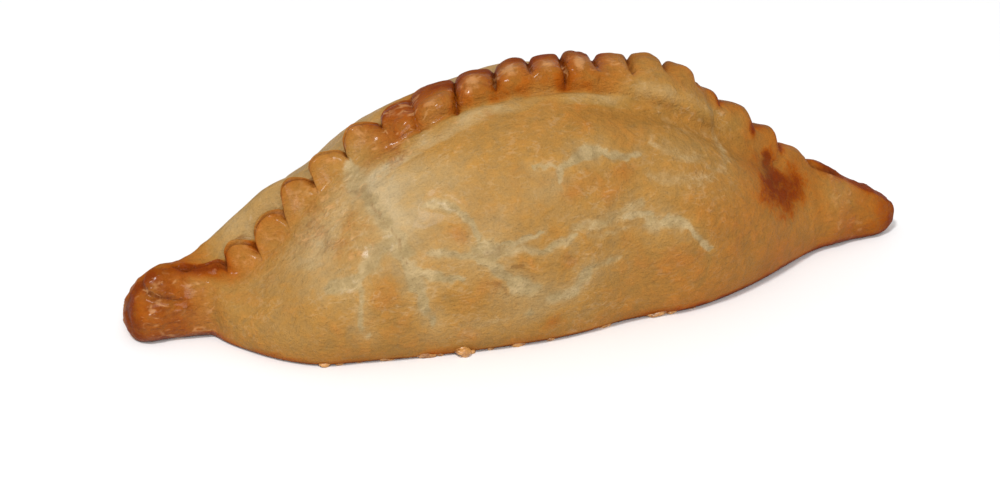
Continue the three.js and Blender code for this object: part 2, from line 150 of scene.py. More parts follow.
# Patches: x, height and half sizes, then how much paler, and how much more orange (or, if
# negative, more olive) than the dough round them.
# Some patches paint light and shade: those at x -81, -72.3, 49, 58.5 and 67.2 are painted shade in
# notches and creases of the crimps, -104.5 in the slit of the blunt end, 77.5 along the neck of
# the pointed end and 51 under its crimps; those at x -62, -59 and 86 are painted highlights.
PATCHES = (
    (-39, 51, 11, 7, 0.42, 0.1), (-44, 44, 4, 5, 0.35, 0.0), (-40, 38, 7, 5, 0.38, 0.0),
    (-33, 50, 12, 5, 0.25, 0.0), (-59, 39, 4, 6, 0.45, 0.2), (-62, 31, 4, 5, 0.40, 0.2),
    (-51, 37, 4, 7, 0.0, -0.4), (-57, 20, 4, 3, -0.05, -0.5), (-62, 19, 4, 3, -0.1, -0.4),
    (-48, 21, 4, 5, -0.2, 0.9), (-46, 14, 7, 5, -0.1, 0.5), (-29, 33, 2.6, 2.6, -0.2, 1.3),
    (-23, 20, 3, 3, -0.05, 0.9), (-33, 17, 7, 5, -0.05, -0.3), (-14, 23, 5, 3, -0.05, 0.5),
    (-3, 23, 3, 2, -0.1, 1.0), (-7, 31, 3, 1.5, -0.15, 0.4), (-1, 40, 3, 4, 0.0, 0.8),
    (14, 42, 2.5, 2.5, -0.25, 0.8), (9, 37, 3, 3, -0.1, 0.9), (5, 41, 3, 3, 0.0, 0.6),
    (-8, 41, 5, 3, 0.15, -0.2), (14, 19, 6, 7, -0.05, 0.5), (27, 17, 6, 6, -0.1, 1.0),
    (36, 30, 10, 8, -0.12, -0.1), (46, 20, 9, 8, -0.1, 0.4), (62, 9, 5, 5, -0.15, 1.1),
    (-72, 18, 8, 7, 0.0, 0.3), (-60, 10, 8, 4, -0.05, 0.5), (-35, 6, 14, 4, 0.15, 0.6),
    (-15, 42, 14, 8, 0.1, 0.4), (24, 50, 14, 4, -0.1, -0.5), (40, 43, 8, 4, -0.08, -0.5),
    (35, 45, 12, 8, 0.28, -0.2), (51, 49, 8, 6, -0.12, -0.9), (-4, 6, 14, 3, 0.1, 0.3),
    (-96, 15, 6, 6, -0.45, -0.5), (-97, 6, 10, 7, -0.25, -0.5),
    (54, 47, 3.5, 3.5, 0.2, -0.2), (61, 40, 3, 3, 0.2, -0.1), (69, 33, 3, 2.5, 0.2, 0.0),
    (-104.5, 9, 2, 9, -0.8, 0.2), (-81, 26, 2.8, 1.8, -0.8, 0.6), (-72.3, 38.5, 1.6, 3, -0.6, 0.4),
    (49, 55, 1.2, 2, -0.9, 0.2), (58.5, 44, 1.3, 2.2, -0.9, 0.2), (67.2, 35, 1.3, 2.2, -0.9, 0.2),
    (-76, 34, 4, 3, 0.3, 0.5), (-8, 7, 2.8, 1.1, -0.7, 0.8), (86, 17.5, 5, 5, 0.6, 0.6),
    (77.5, 19, 1.6, 8, -0.3, -0.4), (60, 31, 7, 6, -0.15, 0.4),
)
# Fine cracks in the skin, each with its depth.
CRACKS = (
    (0.45, ((-26, 26), (-24, 23), (-23, 21), (-21, 19), (-19, 17), (-17, 14), (-16, 11))),
    (0.30, ((-18, 24), (-15, 23), (-13, 21), (-10, 19), (-7, 18))),
    (0.20, ((-48, 50), (-47, 42), (-46, 39), (-45, 37), (-44, 34), (-43, 29), (-42, 27))),
    (0.20, ((-28, 37), (-27, 33), (-28, 30))),
    (0.20, ((-27, 29), (-24, 28), (-21, 28))),
)
# The hollow under the crimps of the pointed half: its line.
HOLLOW = ((2, 60), (12, 59), (18, 58), (23, 57), (29, 56), (34, 54), (40, 50), (45, 47),
          (50, 42), (55, 37), (60, 32))
# Folds in the dough of the ends: depth of the line, and how far the skin above it stands out.
FOLDS = (
    (0.9, 1.0, ((-93, 20.5), (-97, 22), (-99.5, 21), (-100.4, 18), (-99.6, 15.5), (-98, 14.2),
                (-95, 13), (-91, 12))),
    (1.1, 0.0, ((-92, 22.5), (-90.5, 20.8), (-89.5, 20.3), (-88, 21.2), (-86, 22.5))),
    (0.5, 0.0, ((-103.4, 15), (-104.2, 11), (-104.6, 7), (-104.5, 3))),
    (0.8, 0.7, ((77.5, 30), (78.3, 27), (81, 25.3), (84, 24), (87.5, 22))),
)
# how wide folds and cracks are
GROOVE = 0.6
# Crumbs along the front edge of the base: x, half length, half depth and half height.
CRUMBS = (
    (-62, 1.7, 1.5, 0.9), (-58.5, 1.2, 1.0, 0.6), (-54, 0.8, 0.7, 0.5), (-47.5, 2.2, 0.9, 0.9),
    (-38, 2.5, 1.2, 1.1), (-35, 1.2, 0.9, 0.7), (-29.5, 1.9, 2.6, 1.5), (-26.8, 1.0, 1.2, 0.8),
    (-22, 1.1, 0.8, 0.6), (-15.5, 2.1, 1.0, 0.9), (-7, 1.4, 0.8, 0.7), (8, 1.8, 0.9, 0.8),
    (22.5, 3.0, 1.3, 1.2), (27, 1.6, 1.0, 0.9), (33, 1.1, 0.7, 0.6),
)


# ---- helpers for whole arrays ----

def ease(a, b, x):
    """Smooth step, 0 at a and 1 at b, level at both ends."""
    t = np.clip((x - a) / (b - a), 0, 1)
    return t * t * (3 - 2 * t)


def blend(a, b, power):
    """The larger of two lengths, with their meeting rounded off: a p-norm."""
    return (a ** power + b ** power) ** (1 / power)


def hump(x, centre, spread):
    """A bell of height 1 about centre."""
    return np.exp(-((x - centre) / spread) ** 2)


def humps(x, table):
    """The sum of a table's bells: centre, spread and size of each."""
    return sum(size * hump(x, centre, spread) for centre, spread, size in table)


def noise(points, size, seed):
    """Smooth random field from -1 to 1: random values on a cubic lattice of the given size,
    blended between its corners with an eased weight."""
    values = np.random.default_rng(seed).uniform(-1, 1, (17, 17, 17))
    cell = points / size
    base = np.floor(cell).astype(int)
    part = cell - base
    part = part * part * (3 - 2 * part)
    total = 0
    for corner in np.ndindex(2, 2, 2):
        i, j, k = ((base[..., axis] + corner[axis]) % 17 for axis in range(3))
        weight = 1
        for axis in range(3):
            weight = weight * (part[..., axis] if corner[axis] else 1 - part[..., axis])
        total = total + weight * values[i, j, k]
    return total


def per_crimp(number, seed):
    """One random number from -1 to 1 for each crimp."""
    values = np.random.default_rng(seed).uniform(-1, 1, CRIMPS + 8)
    return values[np.clip(number + 4, 0, CRIMPS + 7).astype(int)]


def layers(points, size, seed, count=3):
    """Noise of a size, with count - 1 finer layers on it, each of half the size and strength."""
    return sum(noise(points, size / 2 ** k, seed + k) / 2 ** k for k in range(count))


def along_line(x, height, line):
    """From every point to a line on the skin: the distance, how far along from 0 to 1 the nearest
    point is, and on which side (above it is positive)."""
    best = np.full(x.shape, 1e3)
    share, side = np.zeros(x.shape), np.zeros(x.shape)
    line = np.array(line, float)
    lengths = np.linalg.norm(np.diff(line, axis=0), axis=1)
    start = np.concatenate([[0], np.cumsum(lengths)])
    for (x0, h0), (x1, h1), at, length in zip(line[:-1], line[1:], start, lengths):
        ux, uh = (x1 - x0) / length, (h1 - h0) / length
        t = np.clip((x - x0) * ux + (height - h0) * uh, 0, length)
        dx, dh = x - x0 - t * ux, height - h0 - t * uh
        away = np.hypot(dx, dh)
        nearer = away < best
        best = np.where(nearer, away, best)
        share = np.where(nearer, (at + t) / start[-1], share)
        side = np.where(nearer, np.sign(ux * dh - uh * dx), side)
    return best, share, side


# ---- long lines of the crust, as functions of x ----

def end_value(x, key):
    """A size of the end that x belongs to."""
    return np.where(x < SUMMIT, BLUNT[key], POINTED[key])


def past_neck(x):
    """Distance past the neck of the nearer end."""
    return np.maximum(np.abs(x) - end_value(x, "neck"), 0)


def arch(x, left_reach, right_reach, left_power, right_power):
    """Cosine arch, 1 at the summit and 0 at its reach, on either side to its own power."""
    left = x < SUMMIT
    share = np.clip(np.abs(x - SUMMIT) / np.where(left, left_reach, right_reach), 0, 1)
    return np.cos(np.pi / 2 * share) ** np.where(left, left_power, right_power)


def end_height(x):
    """Top of an end, sloping down past its neck."""
    return end_value(x, "height") - end_value(x, "slope") * past_neck(x)


def crest_height(x):
    """Top of the rope: an arch that flows into both ends, with one tall stretch."""
    tall = ease(18, 37, x) * (1 - ease(41, 46, x))
    uneven = 2.2 * tall + humps(x, CREST_BUMPS)
    return blend(CREST * arch(x, *CREST_REACH, 0.66, 0.78) + uneven, end_height(x), 6)


def dome_height(x):
    """Top of the filled dome, under the rope."""
    return blend(DOME * arch(x, *DOME_REACH, 0.78, 0.92), end_height(x) * 0.76, 6)


def belly_half(x, full):
    """Half width of the belly, full at the summit: a blunt shoulder to the left, a long taper to
    the right, and then the flared end."""
    left = x < SUMMIT
    share = np.clip(np.abs(x - SUMMIT) / np.where(left, *DOME_REACH), 0, 1)
    body = full * np.where(left, (1 - share ** 3.4) ** 0.4, (1 - share ** 1.9) ** 0.85)
    out = past_neck(x)
    half = end_value(x, "half")
    own = half + end_value(x, "flare") * (1 - ease(0, 9, out))
    own = own - half * 0.45 * end_value(x, "slope") * out / 12
    return blend(body, own * ease(50, 78, np.abs(x)), 4)


def nose(x, run, power):
    """Rounding of an end: 1 along the body, falling over its last run to 0 at the tip."""
    into = np.clip((np.abs(x) - (LENGTH / 2 - run)) / run, 0, 1)
    return (1 - into * into) ** power


# ---- the grid of the skin ----

# columns to a crimp, how strongly they are gathered, and the columns of the two ends
PER_CRIMP = 22
GATHER = 0.45
NOSE_COLUMNS = (44, 40)
# on the ends, so many millimetres are counted as a crimp
END_CRIMPS = (8, 9)
# rows of each part of a cross-section
ROWS = dict(base=6, tuck=7, front=80, lobe=50, wall=12, slope=16, back=28)
# width of the wall's narrow rows
RIM = 1.7


def columns():
    """x and crimp count of every column: PER_CRIMP to a crimp, gathered towards its creases,
    and on the ends gathered towards the noses."""
    turn = np.linspace(0, CRIMPS, CRIMPS * PER_CRIMP + 1)
    turn = turn - GATHER * np.sin(2 * np.pi * turn) / (2 * np.pi)
    middle = np.interp(turn, np.arange(CRIMPS + 1), CREASES)
    count_l, count_r = NOSE_COLUMNS
    share_l = 1 - np.cos(np.arange(1, count_l) / count_l * np.pi / 2)
    share_r = np.cos(np.arange(count_r - 1, 0, -1) / count_r * np.pi / 2)
    left = -LENGTH / 2 + (middle[0] + LENGTH / 2) * share_l
    right = middle[-1] + (LENGTH / 2 - middle[-1]) * share_r
    turn_left = (left - middle[0]) / END_CRIMPS[0]
    turn_right = CRIMPS + (right - middle[-1]) / END_CRIMPS[1]
    return np.concatenate([left, middle, right]), np.concatenate([turn_left, turn, turn_right])


def leftness(x):
    """1 where the crimps are upright lobes in front of the dome, 0 where they are its crest."""
    return 1 - ease(-44, -18, x)


def crimp_root(x):
    """Seat of the crimps' lower edge in front, where they aren't upright lobes."""
    return -0.65 - 0.0045 * np.clip(x, -35, 42)


def on_rope(zone):
    """Whether a row is one of the rope's."""
    return (zone >= 2) & (zone < 3)


def rim_seat(x, turn):
    """Seat of the crimps' upper edge: near the seam on the left, behind the crest elsewhere."""
    arc = np.abs(np.sin(np.pi * turn)) * crimped(turn)
    left = leftness(x)
    return left * (0.02 + 0.10 * arc) + (1 - left) * (0.60 + 0.08 * arc)


def crust_grid():
    """The plain skin as rows x columns x 3, and for each point its zone, seat, wall and crimp
    count.

    A cross-section is a flat base, a quarter ellipse tucking in under the belly, a superellipse
    dome, and on it the rope: a bell, gentle in front and steep behind. seat runs from -1 at the
    rope's front root over 0 on the seam to 1 at its back root. zone is 0 on the base, 1 to 2 in
    front, 2 to 3 on the rope and 3 to 4 behind. wall runs from 0 to 1 over the narrow rows behind
    the crimps' edge.
    """
    x, turn = columns()
    front = belly_half(x, FRONT) + humps(x, FRONT_BULGES)
    back = belly_half(x, BACK) + humps(x, BACK_BULGES)
    dome = dome_height(x)
    belly = BELLY_LEVEL * dome
    tuck_f, tuck_b = np.minimum(TUCK, 0.35 * front), np.minimum(TUCK, 0.35 * back)
    slope = 1 - ease(-45, -12, x)
    straight = 1 - 0.7 * ease(68, 90, np.abs(x))
    middle = (SEAM_Y - 1.5 * ease(-20, -60, x)) * straight
    seam = middle - 2.6 * ease(-52, -78, x) * (1 - ease(-82, -92, x))
    root_f = np.minimum(SEAM_FRONT, 0.72 * (front + seam))
    root_b = np.minimum(SEAM_BACK, 0.72 * (back - seam))
    rim = rim_seat(x, turn)

    def dome_at(y):
        half = np.where(y < 0, front, back)
        rise = np.clip(1 - (np.abs(y) / half) ** ROUNDNESS, 0, 1) ** (1 / ROUNDNESS)
        return belly + (dome - belly) * rise

    def rope_at(y):
        shoulder = ease(-57, -70, x) * (1 - ease(-84, -92, x))
        left_drop = 2.2 + 1.0 * hump(x, -53, 6) - 4.3 * shoulder - 1.6 * ease(-84, -92, x)
        left_drop = left_drop - 1.3 * hump(x, -78, 6)
        drop = slope * left_drop + (1 - slope) * 0.4
        aside = y - middle - 7 * slope * straight
        reach = 6.5 + slope * (0.8 + 6.7 * ease(-68, -53, x))
        ahead = 1 / (1 + np.abs(aside / np.minimum(reach, 0.7 * front)) ** 3.2)
        reach = np.minimum(4.2 + 1.2 * slope, 0.45 * back)
        behind = 1 / (1 + np.abs(aside / reach) ** (5 - 2 * slope))
        ditch = humps(x, DITCHES) * hump(y - middle, 0, 4.5)
        return (crest_height(x) - dome - drop) * np.where(aside < 0, ahead, behind) - ditch

    rows, zones, seats, walls = [], [], [], []

    def add(y, z, zone, seat=0.0, wall=0.0):
        rows.append((y, z))
        zones.append(zone)
        seats.append(np.broadcast_to(seat, x.shape))
        walls.append(wall)

    def add_dome(half, angle, zone, seat=0.0, wall=0.0):
        y = half * np.cos(angle) ** (2 / ROUNDNESS)
        z = belly + (dome - belly) * np.sin(angle) ** (2 / ROUNDNESS) + rope_at(y)
        add(y, z, zone, seat, wall)

    quarter = np.pi / 2
    for t in np.arange(ROWS["base"]) / ROWS["base"]:
        add((back - tuck_b) * (1 - t) - (front - tuck_f) * t, 0 * x, 0)
    for t in np.arange(ROWS["tuck"]) / ROWS["tuck"]:
        y = -(front - tuck_f) - tuck_f * np.sin(t * quarter)
        add(y, belly * (1 - np.cos(t * quarter)), 1)
    top = np.arccos(np.clip((root_f - seam) / front, 0, 1) ** (ROUNDNESS / 2))
    for t in np.arange(ROWS["front"]) / ROWS["front"]:
        add_dome(-front, t * top, 1 + t)

    foot = rim + RIM / SEAM_BACK
    steps = [(-1 + (rim + 1) * t, 0.0) for t in np.arange(ROWS["lobe"]) / ROWS["lobe"]]
    steps += [(rim + (foot - rim) * t, t) for t in np.arange(ROWS["wall"]) / ROWS["wall"]]
    steps += [(foot + (1 - foot) * t, 1.0) for t in np.arange(ROWS["slope"]) / ROWS["slope"]]
    for k, (seat, wall) in enumerate(steps):
        y = seam + seat * np.where(seat < 0, root_f, root_b)
        add(y, dome_at(y) + rope_at(y), 2 + k / len(steps), seat, wall)

    top = np.arccos(np.clip((root_b + seam) / back, 0, 1) ** (ROUNDNESS / 2))
    for t in np.arange(ROWS["back"], 0, -1) / ROWS["back"]:
        add_dome(back, t * top, 4 - t, 1.0, 1.0)
    for t in np.arange(ROWS["tuck"], 0, -1) / ROWS["tuck"]:
        y = back - tuck_b + tuck_b * np.sin(t * quarter)
        add(y, belly * (1 - np.cos(t * quarter)), 4, 1.0, 1.0)

    y, z = (np.array([row[k] for row in rows]) for k in (0, 1))
    tip = end_value(x, "tip")
    above = np.where(x < SUMMIT, nose(x, 12, 0.6), nose(x, 8, 0.5))
    below = np.where(x < SUMMIT, nose(x, 3, 0.4), nose(x, 7, 0.5))
    z = tip + (z - tip) * np.where(z > tip, above, below)
    y = y * np.where(x < SUMMIT, nose(x, 7, 0.45), nose(x, 9, 0.5))
    y = y - BLUNT["forward"] * ease(-77, -92, x) - POINTED["forward"] * ease(78, 95, x)
    points = np.stack([np.broadcast_to(x, y.shape), y, z], -1)
    zone, wall = (np.broadcast_to(np.array(v)[:, None], y.shape) for v in (zones, walls))
    return points, zone, np.array(seats), wall, np.broadcast_to(turn, y.shape)


def girth_of(points):
    """Length round each cross-section, from the front edge of the base up and over."""
    steps = np.linalg.norm(np.diff(points, axis=0), axis=-1)
    total = np.concatenate([np.zeros((1, points.shape[1])), np.cumsum(steps, axis=0)])
    return total - total[ROWS["base"]]


def crimp_height(x):
    """How far a crimp stands off the chord between its creases."""
    left = 2.4 + humps(x, LOBE_HEIGHTS)
    low = 1.0 + 0.3 * ease(22, 30, x) * (1 - ease(43, 47, x)) + 0.9 * ease(46, 51, x)
    return left * (1 - ease(-46, -20, x)) + low * ease(-46, -20, x)


def crimped(turn):
    """1 along the crimped seam, 0 on the two ends."""
    return ease(-0.9, 0.2, turn) * (1 - ease(CRIMPS - 0.7, CRIMPS + 0.4, turn))


def outward(points):
    """Unit directions out of the skin, by differences of the grid."""
    along = np.gradient(points, axis=1)
    across = np.roll(points, -1, axis=0) - np.roll(points, 1, axis=0)
    out = np.cross(along, across)
    return out / (np.linalg.norm(out, axis=-1, keepdims=True) + 1e-9)


def crimp(points, zone, seat, wall, turn):
    """Throws the rope into crimps.

    On the left they are lobes that stand up off the seam in arcs: full height to their edge, a
    thin rim of the lower sheet behind it, and then a wall down to the back of the dome. In the
    middle they are flat-topped and go over the crest, full in front, with a furrow and a small
    ridge at their root. On the right they are soft waves.

    Beside the new points it gives three marks from 0 to 1: the painted shade of the creases, the
    grooves and the lobes' foot, with the glaze browned deeper in the creases; the band beside each
    crease, browned and partly painted shade; and the faces of the crimps that catch the light, for
    painted highlights.
    """
    x = points[..., 0]
    rope = on_rope(zone)
    left, right = leftness(x), ease(41, 48, x)
    middle = 1 - left - right
    live = crimped(turn)

    # which crimp a point is on, and how far across it from 0 to 1
    leaning = turn - LEAN * (1 - left) * live * np.clip(seat, -0.7, 0.6) * ease(-1, -0.7, seat)
    number = np.floor(leaning)
    phase = leaning - number
    stop = -np.array(REACHES)[np.clip(np.round(leaning), 0, CRIMPS).astype(int)]
    bold = np.array(BOLDNESS)[np.clip(number, 0, CRIMPS - 1).astype(int)]

    # the outline of a crimp from crease to crease
    arc = np.sin(np.pi * phase ** (1 - 0.28 * left))
    flat_top = (1 - np.abs(2 * phase - 1) ** 2.2) ** 0.75
    skewed = np.sin(np.pi * phase ** (1 + 0.5 * ease(20, 30, x)))
    parted = ease(stop - 0.12, stop + 0.18, seat)
    pillow = 0.75 + (0.5 * flat_top + 0.5 * skewed - 0.75) * parted
    shape = left * arc ** 0.72 + middle * pillow + right * (skewed - 0.45) * parted
    rim = rim_seat(x, turn)
    into = seat - rim

    # how it rises in front and falls behind
    root = crimp_root(x)
    toe = root + 0.10 * (1 - arc ** 0.5) + 0.03 * per_crimp(number, 5)
    ahead = left * ease(-0.40, -0.05, into) + (1 - left) * ease(toe - 0.13, toe + 0.13, seat)
    upright = 1 - ease(0.6, 1.0, wall)
    over = 1 - ease(-0.45, 0.25, into)
    grip = ahead * (left * upright + (1 - left) * over) * rope
    fuller = 1 + (0.2 * right + 0.9 * middle) * (1 - ease(-0.55, 0.15, seat))

    # which way it is pushed: out of the skin, and at the lobes' edge square to the crest
    out = outward(points)
    tangent = np.gradient(crest_height(x[0]), x[0])
    up = np.stack([-tangent, 0 * tangent, 1 + 0 * tangent], -1)
    up = up / np.linalg.norm(up, axis=-1, keepdims=True)
    upward = (left * ease(-0.5, -0.05, into))[..., None]
    way = out * (1 - upward) + up * upward
    way = way / np.linalg.norm(way, axis=-1, keepdims=True)

    height = crimp_height(x) * bold * shape * grip * live * fuller

    # creases: the distance to the nearest one, how deep it is, and where it runs out; and on the
    # left the groove behind a lobe's edge and the foot of its wall, both given painted shade
    gap = np.minimum(phase, 1 - phase) * np.gradient(x, axis=1) / np.gradient(turn, axis=1)
    deep = left * 0.9 + middle * 1.2 + right * 1.5
    run = left * ease(-0.18, 0, into) + (1 - left) * ease(stop - 0.06, stop + 0.14, seat)
    run = run * (1 - ease(0.7, 1.1, wall) * left - ease(-0.2, 0.2, into) * (1 - left))
    crease = hump(gap, 0, 0.5 + 0.3 * middle) * run * rope * live
    beside = hump(gap, 0, 2.0) * run * rope * live
    groove = hump(wall, 0.28, 0.13) * left * live * rope
    foot = hump(wall, 1.0, 0.12) * left * live * rope * (seat < rim + 0.3)
    push = height - deep * crease - 0.8 * groove

    # the furrow and the small ragged ridge under the middle crimps, and dents all over
    fat = ease(-46, -30, x) * (1 - ease(27, 44, x)) * rope
    furrow = (0.9 - 0.6 * ease(12, 22, x)) * hump(seat, root - 0.02, 0.06)
    push = push + fat * (0.9 * hump(seat, root + 0.26, 0.2) - furrow)
    ragged = 1 + 0.8 * layers(points, 4, 91)
    ridge = hump(seat + 0.06 * noise(points, 5, 93), root - 0.15, 0.07) * ragged
    push = push + 0.22 * fat * ridge
    dents = 0.50 * noise(points, 4.3, 51) + 0.36 * (np.abs(noise(points, 2.6, 52)) - 0.3)
    push = push + dents * ahead * (1 - wall) * rope * live * (1 - 0.5 * right)

    # painted shade, with the glaze browned deeper in the creases: in the creases, the groove
    # behind the lobes' edge and at the foot of their wall
    dark = np.maximum(np.maximum(crease, groove), 0.6 * foot)
    # painted highlights on the faces of the middle crimps and of the lobes
    painted_highlight_mark = hump(phase, 0.45, 0.24) * hump(seat, -0.28, 0.2) * middle
    painted_highlight_mark = (painted_highlight_mark + 0.55 * hump(phase, 0.5, 0.3) * hump(into, -0.2, 0.16) * left) * rope * live
    return points + way * push[..., None], dark, beside, painted_highlight_mark


def fold_and_crack(points, girth):
    """Presses the folds, the hollow and the cracks into the skin: a bell-shaped groove along each
    line, and for each of the folds a lip on its upper side, full at the line and gone within a few
    millimetres. With the points it gives the painted shade in the folds."""
    x = points[..., 0]
    push = np.zeros(x.shape)
    dark = np.zeros(x.shape)
    for depth, lip, line in FOLDS:
        away, share, side = along_line(x, girth, line)
        taper = ease(-0.01, 0.12, share) * (1 - ease(0.85, 1.01, share))
        groove = hump(away, 0, GROOVE) * taper
        push += lip * np.exp(-away / 3.5) * ease(-GROOVE, GROOVE, side * away) * taper
        push -= depth * groove
        # painted shade in the fold's groove
        dark = np.maximum(dark, 0.85 * groove)
    away, share, side = along_line(x, girth, HOLLOW)
    taper = ease(0.0, 0.35, share) * (1 - ease(0.8, 1.0, share))
    push += (0.7 * hump(away, 6, 3.5) * (side > 0) - 1.2 * hump(away, 0, 3.2)) * taper
    for depth, line in CRACKS:
        away, share, _ = along_line(x, girth, line)
        taper = ease(-0.01, 0.1, share) * (1 - ease(0.9, 1.01, share))
        push -= depth * hump(away, 0, GROOVE) * taper
    return points + outward(points) * push[..., None], dark


def paleness(x, girth):
    """How far the skin has parted, 0 to 1: over the seams, a bell across each. With it, the paler
    dough round about them."""
    total, halo = np.zeros(x.shape), np.zeros(x.shape)
    for half, clear, line in SEAMS:
        away, share, _ = along_line(x, girth, line)
        taper = 0.55 + 0.45 * ease(0, 0.2, share) * (1 - ease(0.8, 1, share))
        total = np.maximum(total, clear * hump(away, 0, 1.5 * half * taper))
        halo = np.maximum(halo, clear * hump(away, 0, 3.2 * half))
    return total, halo


def patchiness(x, girth):
    """The sum of the patches: how much paler, and how much more orange."""
    pale, warm = np.zeros(x.shape), np.zeros(x.shape)
    for at_x, at_h, half_x, half_h, paler, warmer in PATCHES:
        bell = hump(x, at_x, half_x) * hump(girth, at_h, half_h)
        pale += paler * bell
        warm += warmer * bell
    return pale, warm


def crack_distance(x, girth):
    """Distance to the nearest crack."""
    return np.min([along_line(x, girth, line)[0] for _, line in CRACKS], axis=0)


def weather(points, girth, seams, upper):
    """Unevenness of baked dough: slow dents and wrinkles, creased skin on the ends, and a slight
    dip where the skin has parted along the pale seams. The base stays flat."""
    x = points[..., 0]
    horn = ease(80, 92, np.abs(x))
    slow = 0.45 * noise(points, 17, 31) + 0.22 * noise(points, 7, 32)
    stretched = points * np.array([0.35, 1, 1]) + np.array([0, 0, 0.3]) * x[..., None]
    wrinkle = 0.10 * noise(stretched, 1.9, 33) + 0.09 * noise(points, 2.6, 34)
    ridges = 1 - np.abs(noise(points + 0.8 * noise(points, 4, 36)[..., None], 3.1, 35))
    creased = np.where(x < 0, 0.25, 0.3) * ridges ** 5 * horn
    dip = 0.28 * ease(0.2, 0.8, seams)
    push = (slow * (1 - 0.5 * horn) + wrinkle + creased - dip) * upper
    return points + outward(points) * push[..., None]


# the plain skin is kept, as the marks below go by it
plain, zone, seat, wall, turn = crust_grid()
girth = girth_of(plain)
# the second and fourth marks from crimp are painted shade in the creases and painted highlights on
# the crimps' faces
points, crease, beside, painted_highlight_mark = crimp(plain, zone, seat, wall, turn)
points, fold_shade = fold_and_crack(points, girth)
flat_x = plain[..., 0]
# the lines and patches wander a little about where they are drawn
drawn_x = flat_x + 0.9 * layers(plain, 5, 61) + 0.5 * noise(plain, 1.3, 65)
drawn_h = girth + 0.9 * layers(plain, 5, 71) + 0.5 * noise(plain, 1.3, 75)
seams, halo = paleness(drawn_x, drawn_h)
paler, warmer = patchiness(drawn_x, drawn_h)
points = weather(points, girth, seams, ease(0.0, 3.0, points[..., 2]))


def skin(name, points, marks):
    """Closes the grid into one mesh: quads round the rows and along the columns, and a fan of
    triangles round each tip. marks are numbers kept on every point for the finish to read."""
    rows, cols = points.shape[:2]
    index = np.arange(rows * cols).reshape(rows, cols)
    a, b = index[:, :-1], index[:, 1:]
    c, d = np.roll(b, -1, axis=0), np.roll(a, -1, axis=0)
    quads = np.stack([a, b, c, d], -1).reshape(-1, 4)
    tips = np.array([[-LENGTH / 2, -BLUNT["forward"], BLUNT["tip"]],
                     [LENGTH / 2, -POINTED["forward"], POINTED["tip"]]])
    first, last = rows * cols, rows * cols + 1
    ring = index[:, 0]
    fan_left = np.stack([np.full(rows, first), ring, np.roll(ring, -1)], -1)
    ring = index[:, -1]
    fan_right = np.stack([np.full(rows, last), np.roll(ring, -1), ring], -1)
    vertices = np.concatenate([points.reshape(-1, 3), tips]) * MM
    faces = quads.tolist() + fan_left.tolist() + fan_right.tolist()
    return mesh_piece(name, vertices, faces, marks)


def mesh_piece(name, vertices, faces, marks=None):
    """An object of the scene, smoothly shaded."""
    mesh = bpy.data.meshes.new(name)
    mesh.from_pydata(vertices, [], faces)
    mesh.validate()
    mesh.shade_smooth()
    for key, values in (marks or {}).items():
        mark = mesh.attributes.new(key, "FLOAT", "POINT")
        mark.data.foreach_set("value", values.astype(np.float32))
    piece = bpy.data.objects.new(name, mesh)
    bpy.context.scene.collection.objects.link(piece)
    return piece


def to_vertices(values):
    """A number per grid point as a number per vertex, the two tips last."""
    return np.concatenate([values.ravel(), [values[:, 0].mean(), values[:, -1].mean()]])


# ---- how the crust has baked ----

def from_oval(at_x, at_height, half_x, half_height, lean=0.0):
    """Distance from the middle of an oval on the crust's front, 1 on its rim."""
    x = drawn_x - at_x
    return np.hypot(x / half_x, (drawn_h - at_height + lean * x) / half_height)


